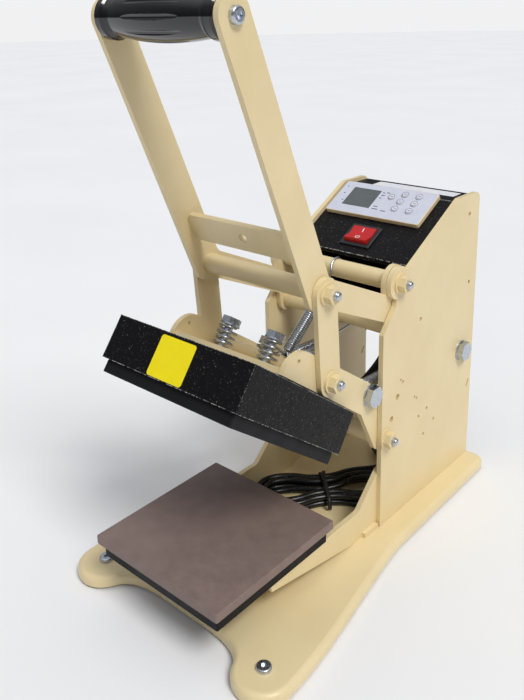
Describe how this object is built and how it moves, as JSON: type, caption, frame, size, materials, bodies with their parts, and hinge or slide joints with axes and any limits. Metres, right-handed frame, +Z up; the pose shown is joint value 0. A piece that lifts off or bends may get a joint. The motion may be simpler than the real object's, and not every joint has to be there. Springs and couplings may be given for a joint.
{
  "type": "flat heat press",
  "caption": "Small clamshell heat press: a lever with a grip drives a toggle linkage that swings a spring-hung heated square down on a padded square platen, with a control box behind.",
  "frame": {"origin": "on the floor, under the middle of the base", "axes": "+X across the press, -Y towards the person who uses it, +Z up"},
  "size_m": [0.254, 0.415, 0.5262],
  "materials": {
    "cream_paint": "satin powder coat",
    "black_paint": "fine textured powder coat",
    "zinc_steel": "bright zinc plating",
    "spring_steel": "zinc plated spring wire",
    "cast_aluminium": "black anodised",
    "pad_rubber": "matt silicone",
    "foot_rubber": "matt",
    "grip_plastic": "polished",
    "shell_plastic": "moulded, warm grey",
    "key_plastic": "moulded",
    "black_plastic": "moulded",
    "red_plastic": "polished",
    "display_glass": "dark window",
    "cord_rubber": "matt sheath",
    "insulation": "pressed fibre"
  },
  "bodies": {
    "frame": {"base_tray": "cream_paint", "rubber_feet": "foot_rubber", "lobe_screws": "zinc_steel", "side_plate_left": "cream_paint", "side_plate_right": "cream_paint", "support_arm_left": "cream_paint", "support_arm_right": "cream_paint", "platen_bridge": "cream_paint", "lower_platen": "cast_aluminium", "silicone_pad": "pad_rubber", "frame_pivot_shafts": "zinc_steel", "frame_pivot_nuts": "cream_paint", "lever_spacer_tube": "cream_paint", "lever_pivot_washers": "zinc_steel", "rear_cross_rod": "zinc_steel", "rear_rod_bolts": "zinc_steel", "control_cover": "black_paint", "controller_body": "shell_plastic", "controller_display": "display_glass", "switch_bezel": "black_plastic", "strain_reliefs": "black_plastic", "mains_cord": "cord_rubber", "mains_tail": "cord_rubber", "cord_hank": "cord_rubber", "plug": "black_plastic", "heater_cable": "cord_rubber", "lift_spring": "spring_steel", "return_springs": "spring_steel"},
    "lever": {"lever_plate_left": "cream_paint", "lever_plate_right": "cream_paint", "lever_elbow_tube": "cream_paint", "lever_tail_tube": "cream_paint", "lever_cross_plate": "cream_paint", "handle_grip": "grip_plastic", "grip_screws": "zinc_steel"},
    "arms": {"upper_arm_left": "cream_paint", "upper_arm_right": "cream_paint", "toggle_tube": "cream_paint", "toggle_shaft": "zinc_steel", "toggle_nuts": "cream_paint", "arm_pivot_tube": "cream_paint", "arm_cross_rod": "zinc_steel", "arm_rod_bolts": "zinc_steel", "mounting_plate": "cream_paint", "platen_springs": "spring_steel"},
    "links": {"link_left": "cream_paint", "link_right": "cream_paint", "link_bolts": "cream_paint"},
    "heated_square": {"platen_cover": "black_paint", "heater_plate": "cast_aluminium", "insulation_board": "insulation", "platen_bolts": "zinc_steel"},
    "power_rocker": {"rocker": "red_plastic"},
    "key_1": {"button_1": "key_plastic"},
    "key_2": {"button_2": "key_plastic"},
    "key_3": {"button_3": "key_plastic"},
    "key_4": {"button_4": "key_plastic"},
    "key_5": {"button_5": "key_plastic"},
    "key_6": {"button_6": "key_plastic"},
    "key_7": {"button_7": "key_plastic"}
  },
  "joints": [
    {"name": "lever_swing", "type": "hinge", "parent": "frame", "child": "lever", "pos_m": [0, 0.0495, 0.263], "axis": [1, 0, 0], "range_deg": [0, 53.36]},
    {"name": "arm_swing", "type": "hinge", "parent": "frame", "child": "arms", "pos_m": [0, 0.0305, 0.109], "axis": [1, 0, 0], "range_deg": [0, 37], "stiffness_Nm_per_rad": 12, "springref_deg": -57.3, "deforming": ["lift_spring", "return_springs", "heater_cable"]},
    {"name": "link_swing", "type": "hinge", "parent": "arms", "child": "links", "pos_m": [0, -0.05693, 0.20385], "axis": [1, 0, 0], "range_deg": [-88.9, 0]},
    {"name": "platen_float", "type": "slide", "parent": "arms", "child": "heated_square", "axis": [0, -0.6018, -0.7986], "range_m": [0, 0.001], "stiffness_N_per_m": 20000, "springref_m": -0.002, "deforming": ["platen_springs"]},
    {"name": "rocker_tilt", "type": "hinge", "parent": "frame", "child": "power_rocker", "pos_m": [-0.0025, 0.09458, 0.28405], "axis": [1, 0, 0], "range_deg": [0, 12]},
    {"name": "key_1_press", "type": "slide", "parent": "frame", "child": "key_1", "axis": [0, 0.4695, -0.8829], "range_m": [0, 0.0006], "stiffness_N_per_m": 400, "springref_m": -0.0005},
    {"name": "key_2_press", "type": "slide", "parent": "frame", "child": "key_2", "axis": [0, 0.4695, -0.8829], "range_m": [0, 0.0006], "stiffness_N_per_m": 400, "springref_m": -0.0005},
    {"name": "key_3_press", "type": "slide", "parent": "frame", "child": "key_3", "axis": [0, 0.4695, -0.8829], "range_m": [0, 0.0006], "stiffness_N_per_m": 400, "springref_m": -0.0005},
    {"name": "key_4_press", "type": "slide", "parent": "frame", "child": "key_4", "axis": [0, 0.4695, -0.8829], "range_m": [0, 0.0006], "stiffness_N_per_m": 400, "springref_m": -0.0005},
    {"name": "key_5_press", "type": "slide", "parent": "frame", "child": "key_5", "axis": [0, 0.4695, -0.8829], "range_m": [0, 0.0006], "stiffness_N_per_m": 400, "springref_m": -0.0005},
    {"name": "key_6_press", "type": "slide", "parent": "frame", "child": "key_6", "axis": [0, 0.4695, -0.8829], "range_m": [0, 0.0006], "stiffness_N_per_m": 400, "springref_m": -0.0005},
    {"name": "key_7_press", "type": "slide", "parent": "frame", "child": "key_7", "axis": [0, 0.4695, -0.8829], "range_m": [0, 0.0006], "stiffness_N_per_m": 400, "springref_m": -0.0005}
  ],
  "couplings": [
    {"joint": "arm_swing", "follows": "lever_swing", "ratio": 0.69334},
    {"joint": "link_swing", "follows": "lever_swing", "ratio": -1.6642}
  ]
}
